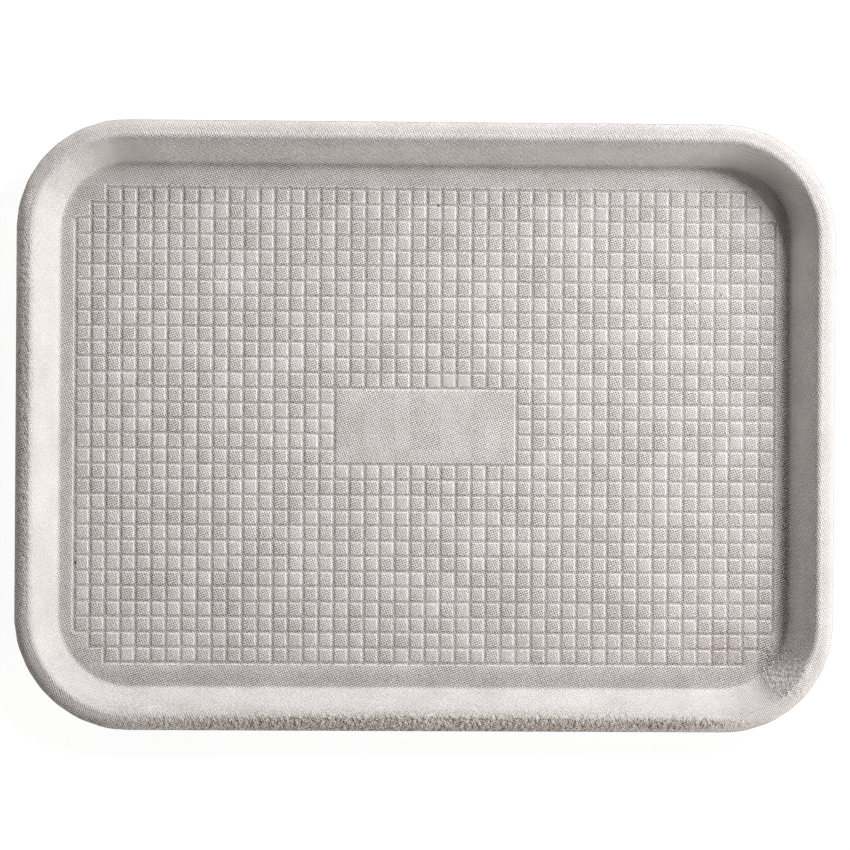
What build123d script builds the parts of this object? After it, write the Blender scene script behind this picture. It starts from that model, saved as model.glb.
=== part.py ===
"""Molded fiber food tray, one pressed sheet of pulp.

The tray lies flat on its underside. Its floor, its leaning wall and the rim that rolls
outward and down are one sheet of even thickness. The floor is pressed into a field of
square pads, parted by V grooves, with a bare plate at the middle.
"""

import os
from math import cos, radians, sin, tan

from build123d import *

# Outer size, all in millimetres
length = 406.0
width = 302.0
height = 22.0
sheet = 1.8
corner_radius = 54.5

# Wall and rim, angles in degrees
wall_draft = 29.0
rim_width = 8.5
rim_fall = 10.0
lip_fall = 60.0
lip_radius = 7.0

# Pad field, its pitch a little wider than the pressed one to spare faces
pad_pitch = 9.8
field_margin = 6.5
corner_cells = 2
groove_width = 2.0
groove_depth = 0.55
plate_length = 98.0
plate_width = 39.0

# Plan places, measured from the tray's centre
corner_x = length / 2 - corner_radius
corner_y = width / 2 - corner_radius
crest_at = corner_radius - rim_width
wall_run = (height - sheet) * tan(radians(wall_draft))
foot_at = crest_at - wall_run
floor_length = 2 * (corner_x + foot_at)
floor_width = 2 * (corner_y + foot_at)

# The rim falls gently from the crest and ends in the round of the lip
lip_run = lip_radius * (sin(radians(lip_fall)) - sin(radians(rim_fall)))
rim_flat = (rim_width - lip_run) / cos(radians(rim_fall))


def even_cells(space: float) -> int:
    """Whole pads that fit a space, an even count so that the field stays centred."""
    return 2 * int(space / pad_pitch / 2)


columns = even_cells(floor_length - 2 * field_margin)
rows = even_cells(floor_width - 2 * field_margin)
plate_columns = even_cells(plate_length + pad_pitch / 2)
plate_rows = even_cells(plate_width + pad_pitch / 2)


def groove(start: tuple[float, float], end: tuple[float, float]) -> Part:
    """V shaped cutter in the floor's face, from one grid point to another."""
    path = Line((*start, sheet), (*end, sheet))
    with BuildSketch(Plane(origin=path @ 0, x_dir=Vector(0, 0, 1), z_dir=path % 0)) as profile:
        with BuildLine():
            Polyline((-groove_depth, 0), (0, groove_width / 2), (0, -groove_width / 2), close=True)
        make_face()
    return extrude(profile.sketch, amount=path.length)


def spans(line: int, across: int, along: int, gap_across: int, gap_along: int) -> list:
    """Grid stretches of one groove line, short at the corner steps and open at the plate."""
    step = max(corner_cells - min(line, across - line), 0)
    if abs(line - across / 2) < gap_across / 2:
        gap_start = (along - gap_along) // 2
        return [(step, gap_start), (along - gap_start, along - step)]
    return [(step, along - step)]


# Grooves along Y, then along X, from valley to valley of the grooves that they end in
grooves = []
for column in range(columns + 1):
    x = (column - columns / 2) * pad_pitch
    for first, last in spans(column, columns, rows, plate_columns, plate_rows):
        low, high = ((row - rows / 2) * pad_pitch for row in (first, last))
        grooves.append(groove((x, low), (x, high)))
for row in range(rows + 1):
    y = (row - rows / 2) * pad_pitch
    for first, last in spans(row, rows, columns, plate_rows, plate_columns):
        low, high = ((column - columns / 2) * pad_pitch for column in (first, last))
        grooves.append(groove((low, y), (high, y)))


def sheet_section(plane: Plane) -> Sketch:
    """Section of the sheet from the corner's axis out to the lip, of even thickness."""
    with BuildSketch(plane) as section:
        with BuildLine() as upper:
            floor = Line((0, sheet), (foot_at, sheet))
            wall = Line(floor @ 1, (crest_at, height))
            rim_end = wall @ 1 + Vector(rim_flat, 0).rotate(Axis.Z, -rim_fall)
            rim = Line(wall @ 1, rim_end)
            JernArc(rim @ 1, rim % 1, lip_radius, rim_fall - lip_fall)
            offset(upper.line, amount=sheet, side=Side.RIGHT, kind=Kind.INTERSECTION)
        make_face()
    return section.sketch


# One quarter, its sides run straight to the middle planes and its corner turned
with BuildPart() as tray:
    corner = Vector(corner_x, corner_y, 0)
    short_side = sheet_section(Plane(origin=corner, x_dir=(1, 0, 0), z_dir=(0, -1, 0)))
    extrude(short_side, amount=corner_y)
    revolve(short_side, axis=Axis(corner, (0, 0, 1)), revolution_arc=90)
    long_side = sheet_section(Plane(origin=corner, x_dir=(0, 1, 0), z_dir=(1, 0, 0)))
    extrude(long_side, amount=-corner_x)
    with BuildSketch():
        Rectangle(corner_x, corner_y, align=Align.MIN)
    extrude(amount=sheet)
    mirror(about=Plane.XZ)
    mirror(about=Plane.YZ)
    add(grooves, mode=Mode.SUBTRACT)

tray.part.label = "tray"

os.makedirs("parts", exist_ok=True)
export_step(tray.part, "parts/tray.step")
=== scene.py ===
"""Molded fiber food tray, dressed for its picture.

The tray is one pressed sheet of off-white pulp. Its mesh is laid out along the sheet's own
section, and a geometry tree presses the groove grid, the level of each pad, the fiber lumps
and the wavy cut edge into it. The finish is built from shader groups for the wire mold's
imprint, the fiber mottle, the wear of each pad, the rough or smooth places and the loose
flecks. Its colour also holds painted light: a painted highlight on the pads' edges along
the grooves, and painted shade in the imprint's pits, in the grooves and along the cut edge.
The stage is a white floor under one key lamp and soft, low fills.
"""

import logging
import math
from dataclasses import dataclass
from enum import Enum

import bpy
from mathutils import Euler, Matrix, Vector


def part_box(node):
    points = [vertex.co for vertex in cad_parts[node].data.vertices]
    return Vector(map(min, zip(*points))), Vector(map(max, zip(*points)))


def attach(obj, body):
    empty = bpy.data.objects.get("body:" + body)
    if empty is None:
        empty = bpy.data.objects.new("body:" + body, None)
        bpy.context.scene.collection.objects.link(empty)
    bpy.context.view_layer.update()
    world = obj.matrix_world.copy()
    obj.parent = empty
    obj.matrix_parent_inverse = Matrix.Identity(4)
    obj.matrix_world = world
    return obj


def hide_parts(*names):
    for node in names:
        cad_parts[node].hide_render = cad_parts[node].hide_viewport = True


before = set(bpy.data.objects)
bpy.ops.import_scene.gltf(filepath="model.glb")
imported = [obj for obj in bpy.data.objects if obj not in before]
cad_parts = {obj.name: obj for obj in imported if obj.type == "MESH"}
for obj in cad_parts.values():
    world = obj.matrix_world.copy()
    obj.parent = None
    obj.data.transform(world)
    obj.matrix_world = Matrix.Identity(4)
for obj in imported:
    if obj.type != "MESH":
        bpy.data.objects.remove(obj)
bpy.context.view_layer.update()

MM = 0.001
BODY = "root"
CAD_NODE = "tray"
UV_NAME = "sheet"
GROOVE = "groove"
ZERO = (0.0, 0.0, 0.0)
HALF = (0.5, 0.5, 0.5)
PATCH_RANGE = (0.35, 0.65)
WHITE = (1.0, 1.0, 1.0, 1.0)
WARM = (1.0, 0.955, 0.925)

FLOAT = "NodeSocketFloat"
VECTOR = "NodeSocketVector"
GEOMETRY = "NodeSocketGeometry"
MATERIAL = "NodeSocketMaterial"

Socket = bpy.types.NodeSocket
Color = tuple[float, float, float, float]

log = logging.getLogger("tray")


class Zone(Enum):
    """Point attributes that tell the tree and the finish which part of the sheet they are on."""

    PRESS = "press"
    LUMP = "lump"
    EDGE = "edge"
    WALL = "wall"


@dataclass(frozen=True)
class Face:
    """One face of the sheet.

    Args:
        upper: True for the face that looks up.
        press: how much of the groove grid its floor takes; below zero, how much of a groove's
            depth its floor is hollowed under the pads, which leaves faint ridges.
        uv_shift: shift of its UV map, so that the two faces differ.
    """

    upper: bool
    press: float
    uv_shift: float


UPPER = Face(True, 1.0, 0.0)
UNDER = Face(False, -0.12, 0.9)


@dataclass(frozen=True)
class Station:
    """One place along the sheet's section.

    Args:
        out: distance from the corner's axis, in metres.
        up: height, in metres.
        lean: angle of the surface's normal from upright, outward positive, in radians.
        run: length along the sheet from the corner's axis, in metres.
        lump: how strongly fiber lumps stand up here, 0 to 1.
        edge: how close this is to the cut edge, 0 to 1.
    """

    out: float
    up: float
    lean: float
    run: float
    lump: float = 0.0
    edge: float = 0.0


class Trace:
    """Traces a section as places: distance out, height, lean of the normal, lump strength."""

    def __init__(self) -> None:
        """Starts with no places."""
        self.places: list[tuple[float, float, float, float]] = []

    def arc(self, centre: tuple[float, float], radius: float, start: float, stop: float,
            steps: int, lump: float) -> None:
        """Adds places on an arc, both ends included.

        Args:
            centre: the arc's centre.
            radius: its radius, negative for a hollow.
            start: lean of the normal at its start.
            stop: lean of the normal at its end.
            steps: number of steps.
            lump: strength of the fiber lumps.
        """
        for step in range(steps + 1):
            lean = start + (stop - start) * step / steps
            self.places.append((centre[0] + radius * math.sin(lean),
                                centre[1] + radius * math.cos(lean), lean, lump))

    def straight(self, stop: tuple[float, float], lean: float, steps: int, lump: float) -> None:
        """Adds places between the last one and a stop, both left out.

        Args:
            stop: where the line ends.
            lean: lean of the normal.
            steps: number of steps.
            lump: strength of the fiber lumps.
        """
        begin = self.places[-1]
        for step in range(1, steps):
            share = step / steps
            self.places.append((begin[0] + (stop[0] - begin[0]) * share,
                                begin[1] + (stop[1] - begin[1]) * share, lean, lump))


@dataclass(frozen=True)
class SheetSection:
    """The section of the pressed sheet, from the flat floor out to the lip.

    Args:
        height: height of the crest.
        corner_radius: plan radius of the outer corner.
        sheet: thickness of the pulp.
        rim_width: crest to outer edge.
        draft: lean of the wall from upright.
        rim_fall: slope of the rim beside the crest.
        lip_fall: slope at the end of the lip.
        lip_radius: round of the lip.
        foot_radius: round between floor and wall.
        foot_dip: how far the margin falls from the pads to the foot.
        margin_run: width of that falling margin.
        crest_radius: round of the crest.
        edge_radius: round of the cut edge.
        arc_steps: steps in each round.
        wall_steps: steps up the wall.
        rim_steps: steps across the rim's flat part.
        edge_stations: stations over which the cut edge's waves fade out.
        under_spacing: least distance between the under face's stations.
        crest_lump: strength of the fiber lumps on the crest.
        rim_lump: their strength on the rim's flat part.
        lip_lump: their strength on the lip and the cut edge.
        under_lump: their strength on the under face, above the floor.
        margin_shares: where the upper face's rings lie between the field and the foot.
        under_shares: where the under face's ring lies there.
    """

    height: float
    corner_radius: float = 54.5 * MM
    sheet: float = 1.8 * MM
    rim_width: float = 8.9 * MM
    draft: float = math.radians(26)
    rim_fall: float = math.radians(10)
    lip_fall: float = math.radians(60)
    lip_radius: float = 7.0 * MM
    foot_radius: float = 2.0 * MM
    foot_dip: float = 1.15 * MM
    margin_run: float = 6.9 * MM
    crest_radius: float = 2.6 * MM
    edge_radius: float = 0.55 * MM
    arc_steps: int = 5
    wall_steps: int = 2
    rim_steps: int = 3
    edge_stations: int = 3
    under_spacing: float = 1.5 * MM
    crest_lump: float = 1.0
    rim_lump: float = 0.5
    lip_lump: float = 0.4
    under_lump: float = 0.3
    margin_shares: tuple[float, ...] = (0.35, 0.7)
    under_shares: tuple[float, ...] = (0.6,)

    @property
    def crest_at(self) -> float:
        """Distance of the crest from the corner's axis."""
        return self.corner_radius - self.rim_width

    @property
    def foot_level(self) -> float:
        """Height of the upper face at the foot."""
        return self.sheet - self.foot_dip

    @property
    def foot_at(self) -> float:
        """Distance of the sharp foot of the wall from the corner's axis."""
        return self.crest_at - (self.height - self.foot_level) * math.tan(self.draft)

    @property
    def wall_lean(self) -> float:
        """Lean of the inner wall's normal, which points back over the floor."""
        return self.draft - math.pi / 2

    @property
    def floor_end(self) -> float:
        """Where the flat floor ends and the foot's round begins."""
        return self.foot_at - self.foot_radius * math.tan(-self.wall_lean / 2)

    def upper(self) -> list[Station]:
        """Stations of the upper face, from the end of the flat floor to the lip.

        Returns:
            The stations in order, with their run along the sheet.
        """
        trace = Trace()
        foot_centre = (self.floor_end, self.foot_level + self.foot_radius)
        trace.arc(foot_centre, -self.foot_radius, 0.0, self.wall_lean, self.arc_steps, 0.0)
        radius = self.crest_radius
        crest_shift = radius * (1 - math.sin(self.draft)) / math.cos(self.draft)
        crest_centre = (self.crest_at + crest_shift, self.height - radius)
        wall_top = (crest_centre[0] + radius * math.sin(self.wall_lean),
                    crest_centre[1] + radius * math.cos(self.wall_lean))
        trace.straight(wall_top, self.wall_lean, self.wall_steps, 0.0)
        trace.arc(crest_centre, radius, self.wall_lean, self.rim_fall, self.arc_steps,
                  self.crest_lump)
        rim_start = trace.places[-1]
        lip_run = self.lip_radius * (math.sin(self.lip_fall) - math.sin(self.rim_fall))
        lip_start = self.corner_radius - lip_run
        drop = (lip_start - rim_start[0]) * math.tan(self.rim_fall)
        lip_top = (lip_start, rim_start[1] - drop)
        trace.straight(lip_top, self.rim_fall, self.rim_steps, self.rim_lump)
        lip_centre = (lip_top[0] - self.lip_radius * math.sin(self.rim_fall),
                      lip_top[1] - self.lip_radius * math.cos(self.rim_fall))
        trace.arc(lip_centre, self.lip_radius, self.rim_fall, self.lip_fall, self.arc_steps,
                  self.lip_lump)

        stations: list[Station] = []
        places = trace.places
        run = self.floor_end
        for index, (out, up, lean, lump) in enumerate(places):
            if index:
                run += math.dist((out, up), places[index - 1][:2])
            edge = max(0.0, 1 - (len(places) - 1 - index) / self.edge_stations)
            stations.append(Station(out, up, lean, run, lump, edge))
        return stations

    def cut_edge(self, last: Station) -> list[Station]:
        """Stations round the lip's cut edge, from the upper face to the under face.

        Args:
            last: the last station of the upper face.

        Returns:
            The stations between the two faces.
        """
        along = (math.cos(last.lean), -math.sin(last.lean))
        inward = (-math.sin(last.lean), -math.cos(last.lean))
        stations: list[Station] = []
        for step in range(1, self.arc_steps):
            turn = math.pi * step / self.arc_steps
            bulge = self.edge_radius * (math.sin(turn) - 1)
            deep = self.sheet / 2 * (1 - math.cos(turn))
            out = last.out + along[0] * bulge + inward[0] * deep
            up = last.up + along[1] * bulge + inward[1] * deep
            stations.append(
                Station(out, up, last.lean + turn, last.run + deep, self.lip_lump, 1.0))
        return stations

    def under(self, upper: list[Station]) -> list[Station]:
        """Stations of the under face, the upper face set back by the sheet's thickness.

        Args:
            upper: the upper face's stations.

        Returns:
            The stations from the lip inward to the foot, fewer than above.
        """
        stations: list[Station] = []
        for station in reversed(upper):
            out = station.out - self.sheet * math.sin(station.lean)
            up = max(station.up - self.sheet * math.cos(station.lean), 0.0)
            if stations:
                gap = math.dist((out, up), (stations[-1].out, stations[-1].up))
                if gap < self.under_spacing:
                    continue
            lump = self.under_lump if up > self.sheet else 0.0
            stations.append(Station(out, up, station.lean + math.pi, station.run, lump))
        stations[-1] = Station(stations[-1].out, 0.0, math.pi, stations[-1].run)
        return stations


@dataclass(frozen=True)
class PadField:
    """The pressed grid of the floor.

    Args:
        columns: pads along the long side.
        rows: pads along the short side.
        pitch_x: spacing along the long side.
        pitch_y: spacing along the short side.
        groove_width: width of a groove at the pads' level.
        groove_depth: depth of a groove.
        corner_cells: pads missing on the outermost line at each corner.
        plate_columns: pads that the bare plate replaces along the long side.
        plate_rows: pads that the bare plate replaces along the short side.
        line_shares: where mesh lines cross a groove, in shares of its half width.
        tuck_clear: how far inside the floor's end the corner tips stay.
        tuck_run: width of the band that is squeezed to bring them in.
        tuck_reach: how far past that limit they would have come.
    """

    columns: int = 46
    rows: int = 31
    pitch_x: float = 7.62 * MM
    pitch_y: float = 7.66 * MM
    groove_width: float = 3.5 * MM
    groove_depth: float = 1.0 * MM
    corner_cells: int = 2
    plate_columns: int = 12
    plate_rows: int = 5
    line_shares: tuple[float, ...] = (-0.9, -0.56, -0.22, 0.22, 0.56, 0.9)
    tuck_clear: float = 0.6 * MM
    tuck_run: float = 3.6 * MM
    tuck_reach: float = 1.9 * MM

    def lines(self, count: int, pitch: float) -> list[float]:
        """Mesh lines across the field: six through each groove and one down the middle.

        Args:
            count: pads across.
            pitch: their spacing.

        Returns:
            The lines' places, in order.
        """
        half = self.groove_width / 2
        places: list[float] = [0.0]
        for line in range(count + 1):
            centre = (line - count / 2) * pitch
            places += [centre + share * half for share in self.line_shares]
        return sorted(places)


class SheetMesh:
    """Builds the closed mesh of the sheet from its section and its field."""

    def __init__(self, section: SheetSection, pads: PadField, core_x: float,
                 core_y: float) -> None:
        """Keeps the sizes.

        Args:
            section: the sheet's section.
            pads: the pressed field.
            core_x: half the distance between the corner axes along the long side.
            core_y: half that distance along the short side.
        """
        self.section = section
        self.pads = pads
        self.core_x = core_x
        self.core_y = core_y
        self.points: list[tuple[float, float, float]] = []
        self.uvs: list[tuple[float, float]] = []
        self.zones: dict[Zone, list[float]] = {zone: [] for zone in Zone}
        self.faces: list[tuple[int, ...]] = []

    def add(self, place: tuple[float, float, float], uv: tuple[float, float],
            press: float = 0.0, lump: float = 0.0, edge: float = 0.0, wall: float = 0.0) -> int:
        """Adds a point.

        Args:
            place: where it is.
            uv: its place on the unrolled sheet.
            press: its face's press, which is 0 off the field.
            lump: strength of the fiber lumps.
            edge: nearness to the cut edge.
            wall: 1 on the leaning wall.

        Returns:
            The point's index.
        """
        self.points.append(place)
        self.uvs.append(uv)
        for zone, value in ((Zone.PRESS, press), (Zone.LUMP, lump), (Zone.EDGE, edge),
                            (Zone.WALL, wall)):
            self.zones[zone].append(value)
        return len(self.points) - 1

    def polar(self, x: float, y: float) -> tuple[Vector, Vector, float]:
        """The nearest point of the core, the direction out from it, and the distance.

        Args:
            x: place along the long side.
            y: place along the short side.

        Returns:
            Core point, unit direction and distance.
        """
        core = Vector((min(max(x, -self.core_x), self.core_x),
                       min(max(y, -self.core_y), self.core_y)))
        offset = Vector((x, y)) - core
        distance = offset.length
        return core, offset / distance if distance > 0 else Vector((0.0, 0.0)), distance

    def tucked(self, x: float, y: float) -> tuple[float, float]:
        """Draws the field's bare corner tips in, so that they stay on the flat floor.

        Args:
            x: place along the long side.
            y: place along the short side.

        Returns:
            The place after the tuck.
        """
        limit = self.section.floor_end - self.pads.tuck_clear
        keep = limit - self.pads.tuck_run
        widest = limit + self.pads.tuck_reach
        core, direction, distance = self.polar(x, y)
        if distance <= keep:
            return x, y
        squeezed = keep + (distance - keep) * (limit - keep) / (widest - keep)
        place = core + direction * squeezed
        return place.x, place.y

    def level(self, x: float, y: float, face: Face) -> float:
        """Height of the floor at a place.

        Args:
            x: place along the long side.
            y: place along the short side.
            face: which face; the upper one falls a little towards the foot.

        Returns:
            The height.
        """
        if not face.upper:
            return 0.0
        _, _, distance = self.polar(x, y)
        start = self.section.floor_end - self.section.margin_run
        share = min(max((distance - start) / self.section.margin_run, 0.0), 1.0)
        return self.section.sheet - self.section.foot_dip * share

    def patch(self, xs: list[float], ys: list[float], face: Face) -> list[int]:
        """A grid of points and faces for the floor.

        Args:
            xs: lines along the long side.
            ys: lines along the short side.
            face: which face it is on.

        Returns:
            The indices of its rim, counter-clockwise from above, starting at the low corner.
        """
        grid: list[list[int]] = []
        for y in ys:
            row: list[int] = []
            for x in xs:
                px, py = self.tucked(x, y)
                place = (px, py, self.level(px, py, face))
                row.append(self.add(place, (px + face.uv_shift, py), face.press))
            grid.append(row)
        for j in range(len(ys) - 1):
            for i in range(len(xs) - 1):
                quad = (grid[j][i], grid[j][i + 1], grid[j + 1][i + 1], grid[j + 1][i])
                self.faces.append(quad if face.upper else quad[::-1])
        rim = grid[0][:-1] + [row[-1] for row in grid[:-1]]
        rim += grid[-1][:0:-1] + [row[0] for row in grid[:0:-1]]
        return rim

    def ring(self, rim: list[int], station: Station, face: Face) -> list[int]:
        """A ring of points that carries a rim out to a station.

        Args:
            rim: the rim of a floor patch, for the directions.
            station: how far out it lies.
            face: which face it is on.

        Returns:
            The ring's indices, in the rim's order.
        """
        indices: list[int] = []
        wall = min(max(-station.lean, 0.0), 1.0)
        for index in rim:
            x, y, _ = self.points[index]
            core, direction, _ = self.polar(x, y)
            place = core + direction * station.out
            unrolled = core + direction * station.run
            indices.append(self.add((place.x, place.y, station.up),
                                    (unrolled.x + face.uv_shift, unrolled.y), 0.0,
                                    station.lump, station.edge, wall))
        return indices

    def margin(self, rim: list[int], share: float, face: Face) -> list[int]:
        """A ring on the floor, part of the way from a rim to the end of the floor.

        Args:
            rim: the rim of a floor patch.
            share: part of the way.
            face: which face it is on.

        Returns:
            The ring's indices.
        """
        indices: list[int] = []
        for index in rim:
            x, y, _ = self.points[index]
            core, direction, distance = self.polar(x, y)
            place = core + direction * (distance + (self.section.floor_end - distance) * share)
            indices.append(self.add((place.x, place.y, self.level(place.x, place.y, face)),
                                    (place.x + face.uv_shift, place.y)))
        return indices

    def band(self, inner: list[int], outer: list[int]) -> None:
        """Adds quads between two rings of the same count."""
        for i, j in zip(range(len(inner)), [*range(1, len(inner)), 0]):
            self.faces.append((inner[i], outer[i], outer[j], inner[j]))

    def halve(self, fine: list[int], coarse: list[int]) -> None:
        """Adds triangles between a fine ring and a coarse one of half its count."""
        count = len(coarse)
        for i in range(count):
            j = (i + 1) % count
            first, middle, last = fine[2 * i], fine[2 * i + 1], fine[(2 * i + 2) % len(fine)]
            self.faces.append((first, coarse[i], middle))
            self.faces.append((middle, coarse[i], coarse[j]))
            self.faces.append((middle, coarse[j], last))

    def build(self) -> bpy.types.Object:
        """Lays out every face of the sheet.

        Returns:
            The tray's object, closed, before the tree presses it.
        """
        upper = self.section.upper()
        xs = self.pads.lines(self.pads.columns, self.pads.pitch_x)
        ys = self.pads.lines(self.pads.rows, self.pads.pitch_y)
        rim = self.patch(xs, ys, UPPER)
        rings = [rim] + [self.margin(rim, share, UPPER) for share in self.section.margin_shares]
        rings += [self.ring(rim, station, UPPER)
                  for station in upper + self.section.cut_edge(upper[-1])]
        for inner, outer in zip(rings, rings[1:]):
            self.band(inner, outer)

        # The under face has half the points, and faces down
        under = [self.ring(rim[::2], station, UNDER) for station in self.section.under(upper)]
        self.halve(rings[-1], under[0])
        under_rim = self.patch(xs[::2], ys[::2], UNDER)
        under += [self.margin(under_rim, share, UNDER) for share in self.section.under_shares]
        under.append(under_rim)
        for outer, inner in zip(under, under[1:]):
            self.band(outer, inner)

        mesh = bpy.data.meshes.new("pressed_sheet")
        mesh.from_pydata(self.points, [], self.faces)
        layer = mesh.uv_layers.new(name=UV_NAME)
        for loop in mesh.loops:
            layer.data[loop.index].uv = self.uvs[loop.vertex_index]
        for zone, values in self.zones.items():
            attribute = mesh.attributes.new(zone.value, "FLOAT", "POINT")
            attribute.data.foreach_set("value", values)
        mesh.shade_smooth()
        mesh.validate()
        body = bpy.data.objects.new("pressed_sheet", mesh)
        bpy.context.scene.collection.objects.link(body)
        return body


class Tree:
    """A short hand for building node trees: adds nodes, sets their values and links them."""

    def __init__(self, tree: bpy.types.NodeTree) -> None:
        """Keeps the tree."""
        self.tree = tree

    def put(self, node: bpy.types.Node, socket: int | str, value: object) -> None:
        """Links a socket to a node's input, or sets the input's own value.

        Args:
            node: the node.
            socket: the input's index or name.
            value: an output socket, a number or a vector.
        """
        target = node.inputs[socket]
        if isinstance(value, Socket):
            self.tree.links.new(value, target)
        else:
            target.default_value = value

    def node(self, kind: str, inputs: dict[int | str, object] | None = None,
             **settings: object) -> bpy.types.Node:
        """Adds a node.

        Args:
            kind: the node's type name.
            inputs: input index or name to a value or a socket.
            **settings: attributes of the node.

        Returns:
            The node.
        """
        node = self.tree.nodes.new(kind)
        for name, value in settings.items():
            setattr(node, name, value)
        for socket, value in (inputs or {}).items():
            self.put(node, socket, value)
        return node

    def group(self, kind: str, tree: bpy.types.NodeTree,
              values: dict[str, object]) -> bpy.types.Node:
        """Places a node group.

        Args:
            kind: the group node's type name.
            tree: the group's own tree.
            values: input name to a value or a socket.

        Returns:
            The node.
        """
        node = self.node(kind, node_tree=tree)
        for name, value in values.items():
            self.put(node, name, value)
        return node

    def math(self, operation: str, *values: object, clamp: bool = False) -> Socket:
        """A math node's result.

        Args:
            operation: the operation's name.
            *values: one or two numbers or sockets.
            clamp: True keeps the result between 0 and 1.

        Returns:
            The result's socket.
        """
        return self.node("ShaderNodeMath", dict(enumerate(values)), operation=operation,
                         use_clamp=clamp).outputs[0]

    def fold(self, operation: str, first: object, *others: object) -> Socket:
        """One operation carried through several values, from the left.

        Args:
            operation: the operation's name.
            first: the first value.
            *others: the other values.

        Returns:
            The result's socket.
        """
        result = first
        for other in others:
            result = self.math(operation, result, other)
        return result

    def times(self, *values: object) -> Socket:
        """The product of the values."""
        return self.fold("MULTIPLY", *values)

    def plus(self, *values: object) -> Socket:
        """The sum of the values."""
        return self.fold("ADD", *values)

    def minus(self, first: object, second: object) -> Socket:
        """The first value less the second."""
        return self.math("SUBTRACT", first, second)

    def fade(self, mask: object, share: float) -> Socket:
        """1 less a share of a mask."""
        return self.minus(1.0, self.times(mask, share))

    def vector(self, operation: str, *values: object) -> Socket:
        """A vector math node's vector result."""
        return self.node("ShaderNodeVectorMath", dict(enumerate(values)),
                         operation=operation).outputs[0]

    def scale(self, vector: object, amount: object) -> Socket:
        """A vector made longer or shorter by an amount."""
        return self.node("ShaderNodeVectorMath", {0: vector, "Scale": amount},
                         operation="SCALE").outputs[0]

    def length(self, vector: object) -> Socket:
        """A vector's length."""
        return self.node("ShaderNodeVectorMath", {0: vector}, operation="LENGTH").outputs["Value"]

    def split(self, vector: object) -> bpy.types.NodeOutputs:
        """A vector's three parts."""
        return self.node("ShaderNodeSeparateXYZ", {0: vector}).outputs

    def combine(self, x: object, y: object, z: object) -> Socket:
        """A vector from three numbers."""
        return self.node("ShaderNodeCombineXYZ", {0: x, 1: y, 2: z}).outputs[0]

    def map_range(self, value: object, low: object, high: object, to_low: object = 0.0,
                  to_high: object = 1.0, kind: str = "SMOOTHSTEP") -> Socket:
        """A value mapped from one range to another, and held to it.

        Args:
            value: the value.
            low: where it starts.
            high: where it ends.
            to_low: the result at the start.
            to_high: the result at the end.
            kind: the interpolation.

        Returns:
            The mapped value's socket.
        """
        return self.node("ShaderNodeMapRange", {
            "Value": value, "From Min": low, "From Max": high, "To Min": to_low,
            "To Max": to_high}, interpolation_type=kind, clamp=True).outputs[0]

    def noise(self, vector: object, scale: object, detail: float,
              **more: float) -> bpy.types.NodeOutputs:
        """A noise texture.

        Args:
            vector: where it is read.
            scale: cells per metre.
            detail: octaves.
            **more: other inputs, by name.

        Returns:
            Its outputs, the value first and then the colour.
        """
        return self.node("ShaderNodeTexNoise", {
            "Vector": vector, "Scale": scale, "Detail": detail, **more}).outputs

    def mix(self, blend: str, factor: object, under: object, over: object,
            label: str = "") -> Socket:
        """Two colours mixed.

        Args:
            blend: the blend's name.
            factor: how much of the second one shows.
            under: the first colour.
            over: the second colour.
            label: the node's label.

        Returns:
            The mixed colour's socket.
        """
        return self.node("ShaderNodeMix", {0: factor, 6: under, 7: over}, data_type="RGBA",
                         blend_type=blend, label=label).outputs[2]

    def given(self) -> bpy.types.NodeOutputs:
        """The group's own inputs, by name."""
        return self.node("NodeGroupInput").outputs

    def give(self, **values: object) -> None:
        """Links the group's outputs, by name."""
        self.node("NodeGroupOutput", values)


def new_tree(name: str, kind: str, inputs: dict[str, object],
             outputs: dict[str, str]) -> bpy.types.NodeTree:
    """An empty node group with named inputs and outputs.

    Args:
        name: the group's name.
        kind: the tree's type, geometry or shader.
        inputs: name to default, a number or a vector, or to the socket type's name.
        outputs: name to socket type.

    Returns:
        The tree.
    """
    tree = bpy.data.node_groups.new(name, kind)
    for label, value in inputs.items():
        if isinstance(value, str):
            tree.interface.new_socket(label, in_out="INPUT", socket_type=value)
            continue
        socket_type = VECTOR if isinstance(value, tuple) else FLOAT
        socket = tree.interface.new_socket(label, in_out="INPUT", socket_type=socket_type)
        socket.default_value = value
    for label, socket_type in outputs.items():
        tree.interface.new_socket(label, in_out="OUTPUT", socket_type=socket_type)
    return tree


def pad_test_group() -> bpy.types.NodeTree:
    """A group that says whether a cell of the grid holds a pad.

    Returns:
        The geometry node group, whose output is 1 on a pad and 0 on the plate, at the bare
        corner cells and outside the field.
    """
    tree = new_tree("Pad test", "GeometryNodeTree", {
        "Column": 0.0, "Row": 0.0, "Columns": 1.0, "Rows": 1.0, "Corner Cells": 0.0,
        "Plate Columns": 0.0, "Plate Rows": 0.0, "Half Cell": 0.5}, {"Pad": FLOAT})
    t = Tree(tree)
    given = t.given()

    def inset(cell: str, count: str) -> Socket:
        """Cells between this one and the nearer side of the field."""
        middle = t.math("DIVIDE", t.minus(given[count], 1.0), 2.0)
        return t.minus(middle, t.math("ABSOLUTE", t.minus(given[cell], middle)))

    def beside_plate(inset_cells: Socket, count: str, plate: str) -> Socket:
        """1 where the plate doesn't reach the cell, along one side."""
        start = t.math("DIVIDE", t.minus(given[count], given[plate]), 2.0)
        return t.math("LESS_THAN", inset_cells, t.minus(start, given["Half Cell"]))

    side = inset("Column", "Columns")
    end = inset("Row", "Rows")
    inside = t.math("GREATER_THAN", t.math("MINIMUM", side, end),
                    t.times(given["Half Cell"], -1.0))
    beyond_step = t.math("GREATER_THAN", t.plus(side, end),
                         t.minus(given["Corner Cells"], given["Half Cell"]))
    off_plate = t.math("MAXIMUM", beside_plate(side, "Columns", "Plate Columns"),
                       beside_plate(end, "Rows", "Plate Rows"))
    t.give(Pad=t.times(inside, beyond_step, off_plate))
    return tree


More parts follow.
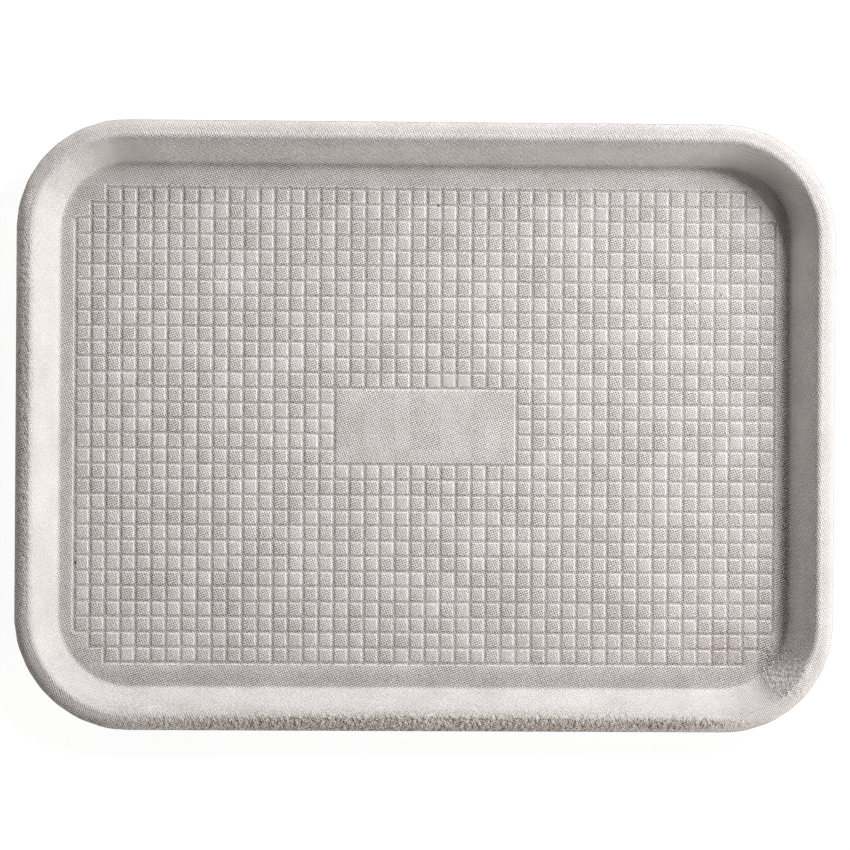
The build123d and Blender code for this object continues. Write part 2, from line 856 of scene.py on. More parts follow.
class PressTree:
    """The geometry tree that presses the sheet: grooves, pad levels, lumps and a wavy edge."""

    def __init__(self, pads: PadField, core_x: float, core_y: float) -> None:
        """Builds the tree.

        Args:
            pads: the pressed field, whose sizes become the tree's inputs.
            core_x: half the distance between the corner axes along the long side.
            core_y: half that distance along the short side.
        """
        self.values: dict[str, float] = {
            "Columns": pads.columns, "Rows": pads.rows, "Pitch X": pads.pitch_x,
            "Pitch Y": pads.pitch_y, "Groove Width": pads.groove_width,
            "Groove Depth": pads.groove_depth, "Corner Cells": pads.corner_cells,
            "Plate Columns": pads.plate_columns, "Plate Rows": pads.plate_rows,
            "Groove Floor": 0.11, "Groove Shoulder": 0.45, "Cross Groove": 0.95,
            "Overrun": 0.17, "Pad Level": 0.05 * MM, "Groove Waver": 0.9 * MM,
            "Waver Scale": 300.0, "Lump Height": 0.05 * MM, "Lump Scale": 420.0,
            "Lump Spread": 0.22, "Edge Wander": 0.5 * MM, "Wander Scale": 160.0, "Skew": 1.1 * MM,
            "Skew Start": 20.0 * MM, "Skew End": 46.0 * MM, "Core X": core_x,
            "Core Y": core_y, "Seed": 11.0,
        }
        self.tree = new_tree(
            "Pressed sheet", "GeometryNodeTree",
            {"Geometry": GEOMETRY, **{name: float(value) for name, value in self.values.items()},
             "Finish": MATERIAL}, {"Geometry": GEOMETRY})
        self.t = Tree(self.tree)
        self.given = self.t.given()
        self.place = self.t.node("GeometryNodeInputPosition").outputs[0]
        self.build()

    def zone(self, zone: Zone) -> Socket:
        """A zone attribute's value."""
        return self.t.node("GeometryNodeInputNamedAttribute", {"Name": zone.value},
                           data_type="FLOAT").outputs["Attribute"]

    def noise(self, scale: str, detail: float) -> bpy.types.NodeOutputs:
        """Three noise values centred on zero, each between about -0.5 and 0.5.

        Args:
            scale: name of the input with the noise's cells per metre.
            detail: octaves.

        Returns:
            The three values' sockets.
        """
        node = self.t.node("ShaderNodeTexNoise", {
            "Vector": self.place, "W": self.given["Seed"], "Scale": self.given[scale],
            "Detail": detail, "Roughness": 0.55}, noise_dimensions="4D")
        return self.t.split(
            self.t.vector("SUBTRACT", node.outputs["Color"], HALF))

    def grooves(self, across: Socket, along: Socket) -> tuple[Socket, Socket]:
        """The groove grid and the levels of the pads.

        Args:
            across: place along the long side, in pads.
            along: place along the short side, in pads.

        Returns:
            How deep the groove is here, 0 to 1, and the pad's own level in metres.
        """
        t, given = self.t, self.given
        pad_group = pad_test_group()
        waver = self.noise("Waver Scale", 1.0)[2]

        def pad(column: Socket, row: Socket) -> Socket:
            """1 where that cell holds a pad."""
            sizes = {key: given[key] for key in (
                "Columns", "Rows", "Corner Cells", "Plate Columns", "Plate Rows")}
            return t.group("GeometryNodeGroup", pad_group,
                           {"Column": column, "Row": row, **sizes}).outputs[0]

        def profile(value: Socket, pitch: Socket) -> Socket:
            """Depth of the nearest groove, 0 to 1, by its distance."""
            offset = t.times(t.math("ABSOLUTE", t.minus(value, t.math("ROUND", value))), pitch)
            ragged = t.plus(offset, t.times(waver, given["Groove Waver"]))
            return t.map_range(ragged, t.times(given["Groove Width"], given["Groove Floor"]),
                               t.times(given["Groove Width"], given["Groove Shoulder"]), 1.0, 0.0)

        # Grooves along Y run a little past the outermost rows
        middle = t.math("DIVIDE", given["Rows"], 2.0)
        from_middle = t.minus(along, middle)
        outermost = t.math("GREATER_THAN", t.math("ABSOLUTE", from_middle), t.minus(middle, 1.0))
        pull = t.times(t.math("SIGN", from_middle), given["Overrun"], outermost)
        pulled_row = t.math("FLOOR", t.minus(along, pull))
        line_x, line_y = t.math("ROUND", across), t.math("ROUND", along)
        column, row = t.math("FLOOR", across), t.math("FLOOR", along)
        along_y = t.times(profile(across, given["Pitch X"]), t.math(
            "MAXIMUM", pad(line_x, pulled_row), pad(t.minus(line_x, 1.0), pulled_row)))
        along_x = t.times(profile(along, given["Pitch Y"]), t.math(
            "MAXIMUM", pad(column, line_y), pad(column, t.minus(line_y, 1.0))))
        groove = t.math("MAXIMUM", along_y, t.times(along_x, given["Cross Groove"]))

        random = t.node("ShaderNodeTexWhiteNoise", {
            "Vector": t.combine(column, row, given["Seed"])}, noise_dimensions="3D")
        on_pad = t.times(pad(column, row), t.minus(1.0, groove))
        level = t.times(t.minus(random.outputs["Value"], 0.5), given["Pad Level"], on_pad)
        return groove, level

    def fray(self, parts: bpy.types.NodeOutputs) -> Socket:
        """The cut edge's waves, and two opposite corners of the rim drawn in a little.

        Args:
            parts: the three parts of this place.

        Returns:
            The offset, always inward.
        """
        t, given = self.t, self.given
        wander = t.times(self.noise("Wander Scale", 4.0)[1], given["Edge Wander"],
                         self.zone(Zone.EDGE))
        core = [t.math("MINIMUM", t.math("MAXIMUM", parts[axis], t.times(given[name], -1.0)),
                       given[name]) for axis, name in enumerate(("Core X", "Core Y"))]
        to_core = t.combine(t.minus(core[0], parts[0]), t.minus(core[1], parts[1]), 0.0)
        inward = t.vector("NORMALIZE", to_core)
        sides = t.split(inward)
        at_corner = t.math("MULTIPLY", t.times(sides[0], sides[1]), 2.0, clamp=True)
        drawn = t.times(at_corner, given["Skew"], t.map_range(
            t.length(to_core), given["Skew Start"], given["Skew End"]))
        return t.scale(inward, t.plus(t.math("ABSOLUTE", wander), drawn))

    def build(self) -> None:
        """Fills the tree."""
        t, given = self.t, self.given
        parts = t.split(self.place)
        across = t.plus(t.math("DIVIDE", parts[0], given["Pitch X"]),
                        t.math("DIVIDE", given["Columns"], 2.0))
        along = t.plus(t.math("DIVIDE", parts[1], given["Pitch Y"]),
                       t.math("DIVIDE", given["Rows"], 2.0))
        groove, level = self.grooves(across, along)

        # The upper face sinks at a groove, and the under face is hollowed between grooves
        press = self.zone(Zone.PRESS)
        above = t.math("MAXIMUM", press, 0.0)
        below = t.math("MAXIMUM", t.times(press, -1.0), 0.0)
        drop = t.times(t.minus(level, t.times(groove, given["Groove Depth"])), above)
        lift = t.times(t.minus(1.0, groove), given["Groove Depth"], below)
        pressed = t.combine(0.0, 0.0, t.plus(drop, lift))

        # Lumps are cut back into the sheet, so that they never pass its outer size
        normal = t.node("GeometryNodeInputNormal").outputs[0]
        hollow = t.map_range(self.noise("Lump Scale", 3.0)[0], t.times(given["Lump Spread"], -1.0),
                             given["Lump Spread"], -1.0, 0.0, "LINEAR")
        lumped = t.scale(normal, t.times(hollow, given["Lump Height"], self.zone(Zone.LUMP)))

        offset = t.vector("ADD", t.vector("ADD", pressed, lumped), self.fray(parts))
        moved = t.node("GeometryNodeSetPosition", {"Geometry": given["Geometry"],
                                                  "Offset": offset})
        marked = t.node("GeometryNodeStoreNamedAttribute", {
            "Geometry": moved.outputs[0], "Name": GROOVE, "Value": t.times(groove, above)})
        single = t.node("GeometryNodeRealizeInstances", {0: marked.outputs[0]})
        dressed = t.node("GeometryNodeSetMaterial", {"Geometry": single.outputs[0],
                                                    "Material": given["Finish"]})
        t.give(Geometry=dressed.outputs[0])

    def press(self, piece: bpy.types.Object, finish: bpy.types.Material,
              name: str) -> bpy.types.Object:
        """Presses a sheet and returns the plain mesh that results.

        Args:
            piece: the flat-floored sheet, which is removed.
            finish: the material to set.
            name: the new object's name.

        Returns:
            The pressed object, with no modifier.
        """
        modifier = piece.modifiers.new("press", "NODES")
        modifier.node_group = self.tree
        sockets = {item.name: item.identifier for item in self.tree.interface.items_tree
                   if item.in_out == "INPUT"}
        for label, value in self.values.items():
            modifier[sockets[label]] = float(value)
        modifier[sockets["Finish"]] = finish
        shading = piece.modifiers.new("flat_pads", "WEIGHTED_NORMAL")
        shading.mode = "FACE_AREA"
        depsgraph = bpy.context.evaluated_depsgraph_get()
        mesh = bpy.data.meshes.new_from_object(piece.evaluated_get(depsgraph))
        piece.modifiers.clear()
        mesh.name = name
        pressed = bpy.data.objects.new(name, mesh)
        bpy.context.scene.collection.objects.link(pressed)
        bpy.data.objects.remove(piece)
        return pressed


def imprint_group() -> bpy.types.NodeTree:
    """The wire mold's imprint: two crossing rows of fine wires, pressed unevenly.

    Returns:
        The shader group.
    """
    tree = new_tree("Wire imprint", "ShaderNodeTree", {
        "Vector": ZERO, "Period": 1.12 * MM, "Angle": math.radians(-22), "Wander": 0.12,
        "Wobble Scale": 60.0, "Patch Scale": 75.0, "First Depth": 0.75, "First Loss": 0.15,
        "Second Depth": 1.2, "Second Gain": 0.25, "Relief": 0.25}, {"Height": FLOAT})
    t = Tree(tree)
    given = t.given()
    wobble = t.noise(given["Vector"], given["Wobble Scale"], 2.0)["Color"]
    wobble = t.scale(t.vector("SUBTRACT", wobble, HALF),
                     t.times(given["Wander"], given["Period"]))
    turned = t.node("ShaderNodeVectorRotate", {
        "Vector": t.vector("ADD", given["Vector"], wobble), "Angle": given["Angle"]},
        rotation_type="Z_AXIS").outputs[0]
    parts = t.split(turned)
    turns = t.math("DIVIDE", 2 * math.pi, given["Period"])
    first = t.math("SINE", t.times(parts[0], turns))
    second = t.math("SINE", t.times(parts[1], turns))
    # The two sets of wires press unevenly, and the one across the light is the deeper
    share = t.map_range(t.noise(given["Vector"], given["Patch Scale"], 2.0)[0], *PATCH_RANGE)
    first = t.times(first, t.minus(given["First Depth"], t.times(share, given["First Loss"])))
    second = t.times(second, t.plus(given["Second Depth"], t.times(share, given["Second Gain"])))
    t.give(Height=t.plus(t.times(t.plus(first, second), given["Relief"]), 0.5))
    return tree


def mottle_group() -> bpy.types.NodeTree:
    """Uneven pulp: clouds of denser fiber, short fibers, fine grain and wider clumps.

    Returns:
        The shader group, whose outputs run from 0 to 1.
    """
    tree = new_tree("Fiber mottle", "ShaderNodeTree", {
        "Vector": ZERO, "Cloud Scale": 45.0, "Fiber Scale": 900.0, "Grain Ratio": 2.6,
        "Clump Scale": 420.0},
        {"Cloud": FLOAT, "Fiber": FLOAT, "Grain": FLOAT, "Clump": FLOAT})
    t = Tree(tree)
    given = t.given()
    place = given["Vector"]
    grain_scale = t.times(given["Fiber Scale"], given["Grain Ratio"])
    t.give(Cloud=t.noise(place, given["Cloud Scale"], 3.0)[0],
           Fiber=t.noise(place, given["Fiber Scale"], 2.0, Distortion=1.2)[0],
           Grain=t.noise(place, grain_scale, 1.0)[0],
           Clump=t.noise(place, given["Clump Scale"], 2.0)[0])
    return tree


def pad_wear_group() -> bpy.types.NodeTree:
    """How strongly each pad took the imprint, from smooth and pressed to sharp.

    Returns:
        The shader group: Strength multiplies the imprint, Smooth is 1 on the smooth pads.
    """
    tree = new_tree("Pad wear", "ShaderNodeTree", {
        "Vector": ZERO, "Pitch X": 7.62 * MM, "Pitch Y": 7.66 * MM, "Seed": 3.0,
        "Pad Low": 0.7, "Pad High": 1.15, "Patch Scale": 30.0, "Patch Low": 0.92,
        "Patch High": 1.1, "Smoothness": 0.9, "Smooth Centre": (11.4 * MM, 23.0 * MM, 0.0),
        "Smooth Half": (10.9 * MM, 3.4 * MM, 0.0)}, {"Strength": FLOAT, "Smooth": FLOAT})
    t = Tree(tree)
    given = t.given()
    place = t.split(given["Vector"])
    column = t.math("FLOOR", t.math("DIVIDE", place[0], given["Pitch X"]))
    row = t.math("FLOOR", t.plus(t.math("DIVIDE", place[1], given["Pitch Y"]), 0.5))
    cell = t.node("ShaderNodeTexWhiteNoise", {"Vector": t.combine(column, row, given["Seed"])},
                  noise_dimensions="3D").outputs["Value"]
    patch = t.noise(given["Vector"], given["Patch Scale"], 2.0)[0]
    uneven = t.times(
        t.map_range(cell, 0.0, 1.0, given["Pad Low"], given["Pad High"], "LINEAR"),
        t.map_range(patch, *PATCH_RANGE, given["Patch Low"], given["Patch High"]))
    away = t.vector("SUBTRACT", given["Vector"], given["Smooth Centre"])
    away = t.split(t.vector("ABSOLUTE", away))
    half = t.split(given["Smooth Half"])
    inside = t.times(t.math("LESS_THAN", away[0], half[0]), t.math("LESS_THAN", away[1], half[1]))
    t.give(Smooth=inside, Strength=t.times(
        uneven, t.minus(1.0, t.times(inside, given["Smoothness"]))))
    return tree


def fleck_group() -> bpy.types.NodeTree:
    """A small soft-edged fleck at a place.

    Returns:
        The shader group, whose output is 1 on the fleck.
    """
    tree = new_tree("Fleck spot", "ShaderNodeTree", {
        "Vector": ZERO, "Centre": ZERO, "Radius": 0.5 * MM, "Core": 0.4}, {"Mask": FLOAT})
    t = Tree(tree)
    given = t.given()
    # Height counts for less, so that a fleck runs down into a groove
    away = t.vector("MULTIPLY", t.vector("SUBTRACT", given["Vector"], given["Centre"]),
                    (1.0, 1.0, 0.25))
    t.give(Mask=t.map_range(t.length(away), t.times(given["Radius"], given["Core"]),
                            given["Radius"], 1.0, 0.0))
    return tree


def rough_spot_group() -> bpy.types.NodeTree:
    """A soft oval.

    Returns:
        The shader group, whose output is 1 in the middle and 0 outside.
    """
    tree = new_tree("Rough spot", "ShaderNodeTree", {
        "Vector": ZERO, "Centre": ZERO, "Half": (1.0, 1.0, 1.0), "Core": 0.5}, {"Mask": FLOAT})
    t = Tree(tree)
    given = t.given()
    away = t.vector("DIVIDE", t.vector("SUBTRACT", given["Vector"], given["Centre"]),
                    given["Half"])
    t.give(Mask=t.map_range(t.length(away), given["Core"], 1.0, 1.0, 0.0))
    return tree


@dataclass(frozen=True)
class Fleck:
    """A loose coloured fiber in the pulp.

    Args:
        name: what it is.
        place: where it lies on the floor, in metres.
        radius: its size.
        color: its colour.
    """

    name: str
    place: tuple[float, float]
    radius: float
    color: Color


@dataclass(frozen=True)
class RoughSpot:
    """A place where the pulp is crinkled, torn, browned or pressed smooth.

    Args:
        name: what it is; not used.
        place: its middle, in metres.
        half: its half size along the tray's sides.
        relief: how much rougher it is, or smoother where it is negative.
        tint: how much of the fiber's brown shows in its hollows.
    """

    name: str
    place: tuple[float, float]
    half: tuple[float, float]
    relief: float = 0.0
    tint: float = 0.0


@dataclass(frozen=True)
class Masks:
    """What the colour and the relief both read, as sockets.

    Args:
        own: the object's own coordinates.
        cloud: clouds of denser fiber.
        fiber: short fibers.
        grain: fine grain.
        clump: wider clumps.
        imprint: height of the wire imprint.
        sharp: how sharply the imprint took here.
        smooth: 1 on the smooth pads.
        wall: 1 on the leaning wall.
        rim: how lumpy the rim is.
        groove: depth of the groove, 0 to 1.
        edge: 1 on the pads' edges along the grooves, where the painted highlight goes.
        relief: how rough the pulp is, 1 where it is plain.
        kept: how much of the imprint a smooth place keeps.
        brown: how much brown shows: stains in hollows, and painted shade in the grooves.
    """

    own: Socket
    cloud: Socket
    fiber: Socket
    grain: Socket
    clump: Socket
    imprint: Socket
    sharp: Socket
    smooth: Socket
    wall: Socket
    rim: Socket
    groove: Socket
    edge: Socket
    relief: Socket
    kept: Socket
    brown: Socket


@dataclass(frozen=True)
class FiberFinish:
    """The off-white molded pulp. A range's ends are where a mask is 0 and where it is 1.

    Args:
        pale: colour of the raised, cleaner fiber.
        shade: colour of the denser, slightly pinker fiber.
        pit_shade: painted shade laid in the imprint's pits.
        edge_highlight: painted highlight on the pads' edges along the grooves.
        stain_and_groove_shade: brown of stains in hollows and of painted shade in grooves.
        cut_edge_shade: painted shade that darkens the lip towards the cut edge.
        roughness: the matt level.
        specular: the sheen's level.
        imprint_height: relief of the wire imprint.
        fiber_height: relief of the loose fibers.
        grain_height: relief of the fine grain.
        clump_height: relief of the wider clumps of fiber.
        tone_range: range of the mottle between shade and pale.
        pit_range: range of the imprint's height in its pits.
        hollow_range: range of the short fibers' hollows, where stains and painted groove shade
            show.
        cut_edge_shade_range: range of the nearness to the cut edge where painted shade darkens it.
        cloud_share: share of the clouds in the mottle.
        grain_share: share of the fine grain in it.
        plain_imprint: sharpness of the imprint off the field.
        smooth_pit_shade: how much of the pits' painted shade the smooth pads take, evenly.
        pressed_pit_shade: how much of it a place that is pressed smooth takes, evenly.
        groove_shade: how much painted shade a groove holds, in the brown of the stains.
        spot_stain: how much staining a spot's tint gives.
        spot_middle: height of a spot's middle.
        spot_depth: its half size upwards.
        fleck_level: height at which the flecks lie, the pads' level.
        edge_rise: range of the groove's depth where a pad's painted edge highlight begins.
        edge_fall: range of it where that edge ends.
        wall_fade: how much of the pits' shade the wall loses.
        edge_fade: how much of it the painted edge highlights lose.
        cut_edge_shade_share: how much of its painted shade the cut edge takes.
        rim_wires: how much stronger the imprint's relief is on the rim.
        wall_wires: how much stronger it is on the wall.
        groove_fuzz: how much more the loose fiber stands up in a groove.
        flecks: coloured fibers that show in the floor.
        spots: places that are rougher, browner or smoother.
    """

    pale: Color = (0.850, 0.824, 0.812, 1.0)
    shade: Color = (0.725, 0.694, 0.678, 1.0)
    pit_shade: Color = (0.37, 0.315, 0.285, 1.0)
    edge_highlight: Color = (0.93, 0.915, 0.905, 1.0)
    stain_and_groove_shade: Color = (0.60, 0.51, 0.45, 1.0)
    cut_edge_shade: Color = (0.40, 0.38, 0.37, 1.0)
    roughness: float = 0.86
    specular: float = 0.25
    imprint_height: float = 0.40 * MM
    fiber_height: float = 0.14 * MM
    grain_height: float = 0.084 * MM
    clump_height: float = 0.16 * MM
    tone_range: tuple[float, float] = (0.36, 0.64)
    pit_range: tuple[float, float] = (0.46, 0.12)
    hollow_range: tuple[float, float] = (0.62, 0.42)
    cut_edge_shade_range: tuple[float, float] = (0.72, 1.0)
    cloud_share: float = 0.45
    grain_share: float = 0.55
    plain_imprint: float = 0.93
    smooth_pit_shade: float = 0.28
    pressed_pit_shade: float = 0.4
    groove_shade: float = 0.4
    spot_stain: float = 0.5
    spot_middle: float = 10.0 * MM
    spot_depth: float = 30.0 * MM
    fleck_level: float = 1.8 * MM
    edge_rise: tuple[float, float] = (0.02, 0.3)
    edge_fall: tuple[float, float] = (0.8, 0.45)
    wall_fade: float = 0.75
    edge_fade: float = 0.8
    cut_edge_shade_share: float = 0.75
    rim_wires: float = 0.5
    wall_wires: float = 0.3
    groove_fuzz: float = 1.2
    flecks: tuple[Fleck, ...] = (
        Fleck("blue_fleck", (5.8 * MM, 110.8 * MM), 0.95 * MM, (0.10, 0.12, 0.22, 1.0)),
        Fleck("orange_fleck", (88.7 * MM, 110.3 * MM), 0.9 * MM, (0.60, 0.36, 0.18, 1.0)),
        Fleck("rust_fleck", (148.0 * MM, 67.0 * MM), 0.9 * MM, (0.58, 0.34, 0.18, 1.0)),
        Fleck("dark_fleck", (-31.3 * MM, 18.1 * MM), 0.8 * MM, (0.16, 0.13, 0.11, 1.0)),
        Fleck("brown_fleck", (-175.0 * MM, -69.4 * MM), 1.0 * MM, (0.14, 0.09, 0.06, 1.0)),
    )
    spots: tuple[RoughSpot, ...] = (
        RoughSpot("corner_crinkles", (180.0 * MM, -120.0 * MM), (15.0 * MM, 20.0 * MM), 3.6, 0.2),
        RoughSpot("torn_edge", (130.0 * MM, -146.0 * MM), (36.0 * MM, 5.5 * MM), 2.6, 0.5),
        RoughSpot("brown_grooves", (156.0 * MM, -109.0 * MM), (17.0 * MM, 13.0 * MM), 0.3, 1.0),
        # The left and front rims, the two that face away from the key lamp, are browner in their
        # hollows and rougher
        RoughSpot("left_rim", (-199.0 * MM, 10.0 * MM), (6.5 * MM, 160.0 * MM), 2.3, 1.0),
        RoughSpot("front_rim", (0.0, -147.0 * MM), (230.0 * MM, 8.0 * MM), 3.8, 1.7),
        RoughSpot("smooth_left_wall", (-190.0 * MM, 0.0), (7.5 * MM, 300.0 * MM), -0.7),
        RoughSpot("smooth_right_rim", (203.0 * MM, 0.0), (7.0 * MM, 300.0 * MM), -0.5),
    )

    def masks(self, t: Tree) -> Masks:
        """Places the shared groups and reads the mesh's zones.

        Args:
            t: the material's tree.

        Returns:
            The masks.
        """
        own = t.node("ShaderNodeTexCoord").outputs["Object"]

        def zone(name: str) -> Socket:
            """The value that the mesh holds for a zone."""
            return t.node("ShaderNodeAttribute", attribute_name=name,
                          attribute_type="GEOMETRY").outputs["Fac"]

        unrolled = t.node("ShaderNodeUVMap", uv_map=UV_NAME).outputs[0]
        imprint = t.group("ShaderNodeGroup", imprint_group(), {"Vector": unrolled}).outputs[0]
        mottle = t.group("ShaderNodeGroup", mottle_group(), {"Vector": own}).outputs
        pads = t.group("ShaderNodeGroup", pad_wear_group(), {"Vector": own}).outputs
        groove = zone(GROOVE)
        oval = rough_spot_group()
        # The grooves start with painted shade in the brown of the stains, and the spots add real
        # staining
        relief, brown = 1.0, t.times(groove, self.groove_shade)
        for spot in self.spots:
            mask = t.group("ShaderNodeGroup", oval, {
                "Vector": own, "Centre": (*spot.place, self.spot_middle),
                "Half": (*spot.half, self.spot_depth)}).outputs[0]
            relief = t.plus(relief, t.times(mask, spot.relief))
            brown = t.plus(brown, t.times(mask, spot.tint * self.spot_stain))
        sharp = t.map_range(t.math("MAXIMUM", zone(Zone.PRESS.value), 0.0), 0.0, 1.0,
                            self.plain_imprint, pads["Strength"], "LINEAR")
        # Painted highlight: the pads' edges on both flanks of each groove
        edge = t.times(t.map_range(groove, *self.edge_rise), t.map_range(groove, *self.edge_fall))
        return Masks(own, mottle["Cloud"], mottle["Fiber"], mottle["Grain"], mottle["Clump"],
                     imprint, sharp, pads["Smooth"], zone(Zone.WALL.value),
                     zone(Zone.LUMP.value), groove, edge, relief,
                     t.math("MINIMUM", relief, 1.0), brown)

    def color(self, t: Tree, masks: Masks) -> Socket:
        """The pulp's colour: mottle, flecks and staining, with painted highlight and painted
        shade.

        Args:
            t: the material's tree.
            masks: the shared masks.

        Returns:
            The colour's socket.
        """
        tone = t.map_range(t.plus(t.times(masks.cloud, self.cloud_share),
                                  t.times(masks.grain, self.grain_share)), *self.tone_range)
        color = t.mix("MIX", tone, self.shade, self.pale)
        dot = fleck_group()
        for fleck in self.flecks:
            mask = t.group("ShaderNodeGroup", dot, {
                "Vector": masks.own, "Centre": (*fleck.place, self.fleck_level),
                "Radius": fleck.radius}).outputs["Mask"]
            color = t.mix("MIX", mask, color, fleck.color, fleck.name)
        # Painted highlight on the pads' edges along the grooves
        color = t.mix("MIX", masks.edge, color, self.edge_highlight)

        # Painted shade in the imprint's pits, more than the relief alone gives, pad by pad
        strength = t.times(masks.sharp, t.fade(masks.wall, self.wall_fade),
                           t.math("SUBTRACT", 1.0, masks.rim, clamp=True), masks.kept,
                           t.fade(masks.edge, self.edge_fade))
        # Smooth places have no pits, and take evenly the painted shade that the pits give the
        # others
        even_pit_shade = t.plus(t.times(masks.smooth, self.smooth_pit_shade),
                      t.times(t.minus(1.0, masks.kept), self.pressed_pit_shade))
        shaded = t.plus(t.times(t.map_range(masks.imprint, *self.pit_range), strength), even_pit_shade)
        color = t.mix("MULTIPLY", shaded, color, self.pit_shade)
        # Brown of stains in the fiber's hollows, and painted shade in the grooves
        stain_and_shade = t.math("MULTIPLY", masks.brown, t.map_range(masks.fiber, *self.hollow_range),
                         clamp=True)
        color = t.mix("MULTIPLY", stain_and_shade, color, self.stain_and_groove_shade)
        # Painted shade: the lip darkens towards the cut edge
        edge = t.node("ShaderNodeAttribute", attribute_name=Zone.EDGE.value,
                      attribute_type="GEOMETRY").outputs["Fac"]
        cut_edge_shade_mask = t.map_range(edge, *self.cut_edge_shade_range, 0.0, self.cut_edge_shade_share)
        return t.mix("MULTIPLY", cut_edge_shade_mask, color, self.cut_edge_shade)

    def height(self, t: Tree, masks: Masks) -> Socket:
        """The pulp's fine relief: the wire imprint and the loose fiber on it.

        Args:
            t: the material's tree.
            masks: the shared masks.

        Returns:
            The height's socket, in metres.
        """
        stronger = t.plus(1.0, t.times(masks.rim, self.rim_wires),
                          t.times(masks.wall, self.wall_wires))
        wires = t.times(t.times(masks.imprint, self.imprint_height),
                        t.times(masks.sharp, masks.kept), stronger)
        loose = t.plus(t.times(masks.fiber, self.fiber_height),
                       t.times(masks.grain, self.grain_height),
                       t.times(t.times(masks.clump, self.clump_height), masks.relief))
        uneven = t.plus(masks.relief, t.plus(t.times(masks.groove, self.groove_fuzz), masks.rim))
        return t.plus(wires, t.times(loose, uneven))

    def material(self) -> bpy.types.Material:
        """Builds the material.

        Returns:
            The finish, which reads the sheet's UV map and the object's own coordinates.
        """
        material = bpy.data.materials.new("molded_fiber")
        material.use_nodes = True
        t = Tree(material.node_tree)
        shader = material.node_tree.nodes["Principled BSDF"]
        masks = self.masks(t)
        bump = t.node("ShaderNodeBump", {"Height": self.height(t, masks), "Strength": 1.0,
                                         "Distance": 1.0})
        t.put(shader, "Base Color", self.color(t, masks))
        t.put(shader, "Roughness", self.roughness)
        t.put(shader, "Specular IOR Level", self.specular)
        t.put(shader, "Normal", bump.outputs[0])
        return material


@dataclass(frozen=True)
class Tray:
    """The tray itself.

    Args:
        section: the sheet's section.
        pads: the pressed field.
        finish: the pulp.
    """

    section: SheetSection
    pads: PadField
    finish: FiberFinish

    def build(self) -> bpy.types.Object:
        """Builds, presses and dresses the tray, hangs it on its body and hides the CAD part.

        Returns:
            The finished piece.
        """
        low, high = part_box(CAD_NODE)
        core_x = (high.x - low.x) / 2 - self.section.corner_radius
        core_y = (high.y - low.y) / 2 - self.section.corner_radius
        plain = SheetMesh(self.section, self.pads, core_x, core_y).build()
        piece = PressTree(self.pads, core_x, core_y).press(
            plain, self.finish.material(), "tray_sheet")
        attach(piece, BODY)
        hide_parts(CAD_NODE)
        return piece


@dataclass(frozen=True)
class FloorFinish:
    """The white floor, which glows where it is seen and still keeps the tray's shadow.

    Args:
        roughness: the matt level.
        lit: grey that the lamps see, so that the floor throws their light back.
        seen: grey that the camera sees, which is what the shadow darkens.
        glow: strength of the glow that the camera sees.
    """

    roughness: float = 0.9
    lit: Color = (0.9, 0.9, 0.9, 1.0)
    seen: Color = (0.13, 0.13, 0.13, 1.0)
    glow: float = 0.93

    def material(self) -> bpy.types.Material:
        """Builds the material.

        Returns:
            The floor's material.
        """
        material = bpy.data.materials.new("white_floor")
        material.use_nodes = True
        shader = material.node_tree.nodes["Principled BSDF"]
        t = Tree(material.node_tree)
        rays = t.node("ShaderNodeLightPath").outputs
        direct = t.math("MAXIMUM", rays["Is Camera Ray"], t.math(
            "MAXIMUM", rays["Is Glossy Ray"], rays["Is Transmission Ray"]))
        t.put(shader, "Roughness", self.roughness)
        t.put(shader, "Base Color", t.mix("MIX", direct, self.lit, self.seen))
        t.put(shader, "Emission Color", WHITE)
        t.put(shader, "Emission Strength", t.times(direct, self.glow))
        return material


@dataclass(frozen=True)
class Lamp:
    """A soft area lamp that points at the tray.

    Args:
        name: which side it stands on.
        azimuth: direction from the tray, degrees from +X towards +Y.
        elevation: degrees above the floor.
        size: side of the square.
        power: watts.
        color: tint.
        distance: metres from the tray.
    """

    name: str
    azimuth: float
    elevation: float
    size: float
    power: float
    color: tuple[float, float, float] = (1.0, 1.0, 1.0)
    distance: float = 1.6

    def build(self) -> None:
        """Adds the lamp."""
        data = bpy.data.lights.new(self.name, "AREA")
        data.shape = "SQUARE"
        data.size = self.size
        data.energy = self.power
        data.color = self.color
        lamp = bpy.data.objects.new(self.name, data)
        turn, rise = math.radians(self.azimuth), math.radians(self.elevation)
        away = Vector((math.cos(turn) * math.cos(rise), math.sin(turn) * math.cos(rise),
                       math.sin(rise)))
        lamp.location = away * self.distance
        lamp.rotation_euler = away.to_track_quat("Z", "Y").to_euler()
        bpy.context.scene.collection.objects.link(lamp)


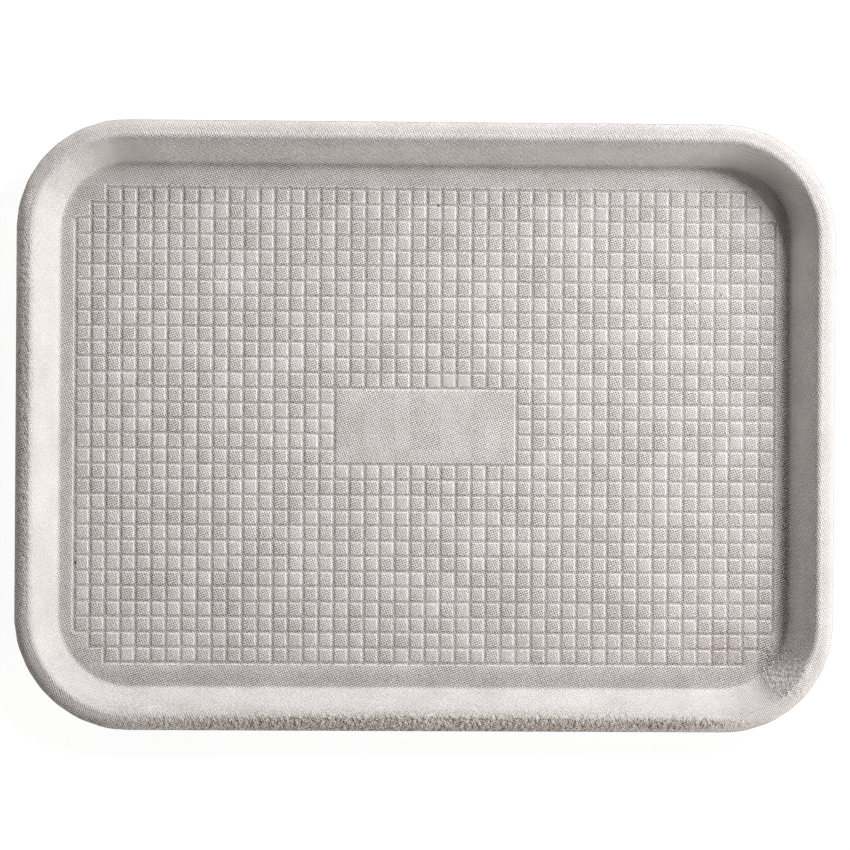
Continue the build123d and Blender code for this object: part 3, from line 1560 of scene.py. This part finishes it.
@dataclass(frozen=True)
class Stage:
    """The white floor, the surround and the lamps.

    Args:
        floor_half: half the floor's side.
        floor_finish: the floor's finish.
        surround: strength of the surround, 0 because the lamps give all the light.
        lamps: the lamps.
    """

    floor_half: float = 3.0
    floor_finish: FloorFinish = FloorFinish()
    surround: float = 0.0
    lamps: tuple[Lamp, ...] = (
        Lamp("key", 37.0, 39.5, 0.3, 18.4),
        Lamp("key_corner", 45.0, 28.0, 0.35, 7.2),
        Lamp("back_low", 72.0, 15.0, 0.5, 5.4),
        Lamp("back_left", 135.0, 20.0, 0.5, 7.6, WARM),
        Lamp("front_right", 315.0, 30.0, 0.5, 7.4, WARM),
        Lamp("front_low", 315.0, 12.0, 0.4, 9.2, WARM),
        Lamp("fill_low", 235.0, 9.0, 0.4, 2.0, WARM),
    )

    def build(self) -> None:
        """Adds the floor, the surround and the lamps."""
        half = self.floor_half
        mesh = bpy.data.meshes.new("stage_floor")
        mesh.from_pydata([(-half, -half, 0), (half, -half, 0), (half, half, 0), (-half, half, 0)],
                         [], [(0, 1, 2, 3)])
        floor = bpy.data.objects.new("stage_floor", mesh)
        floor.data.materials.append(self.floor_finish.material())
        bpy.context.scene.collection.objects.link(floor)
        self.world()
        for lamp in self.lamps:
            lamp.build()

    def world(self) -> None:
        """Adds the surround."""
        world = bpy.data.worlds.new("surround")
        bpy.context.scene.world = world
        world.use_nodes = True
        background = world.node_tree.nodes["Background"]
        background.inputs["Color"].default_value = WHITE
        background.inputs["Strength"].default_value = self.surround


@dataclass(frozen=True)
class Camera:
    """The camera, looking straight down with a slight tilt.

    Args:
        lens: focal length.
        sensor: width of the sensor, in millimetres as the lens is.
        reach: how far it sees.
        place: where it stands, in metres.
        turn: rotation in degrees about X, Y and Z.
    """

    lens: float = 120.0
    sensor: float = 36.0
    reach: float = 20.0
    place: tuple[float, float, float] = (-0.0313, 0.0043, 1.4219)
    turn: tuple[float, float, float] = (-0.151, -1.251, 0.377)

    def build(self) -> None:
        """Adds the camera and makes it the scene's."""
        data = bpy.data.cameras.new("camera")
        data.sensor_width = self.sensor
        data.lens = self.lens
        data.clip_end = self.reach
        camera = bpy.data.objects.new("camera", data)
        camera.location = self.place
        camera.rotation_euler = Euler([math.radians(angle) for angle in self.turn])
        bpy.context.scene.collection.objects.link(camera)
        bpy.context.scene.camera = camera


def main() -> None:
    """Builds the tray, the stage and the camera."""
    logging.basicConfig(level=logging.INFO, format="%(message)s")
    _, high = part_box(CAD_NODE)
    piece = Tray(SheetSection(high.z), PadField(), FiberFinish()).build()
    log.info("%s: %d faces", piece.name, len(piece.data.polygons))
    Stage().build()
    Camera().build()
    bpy.context.scene.view_settings.view_transform = "Standard"
    bpy.context.view_layer.update()


if __name__ == "__main__":
    main()
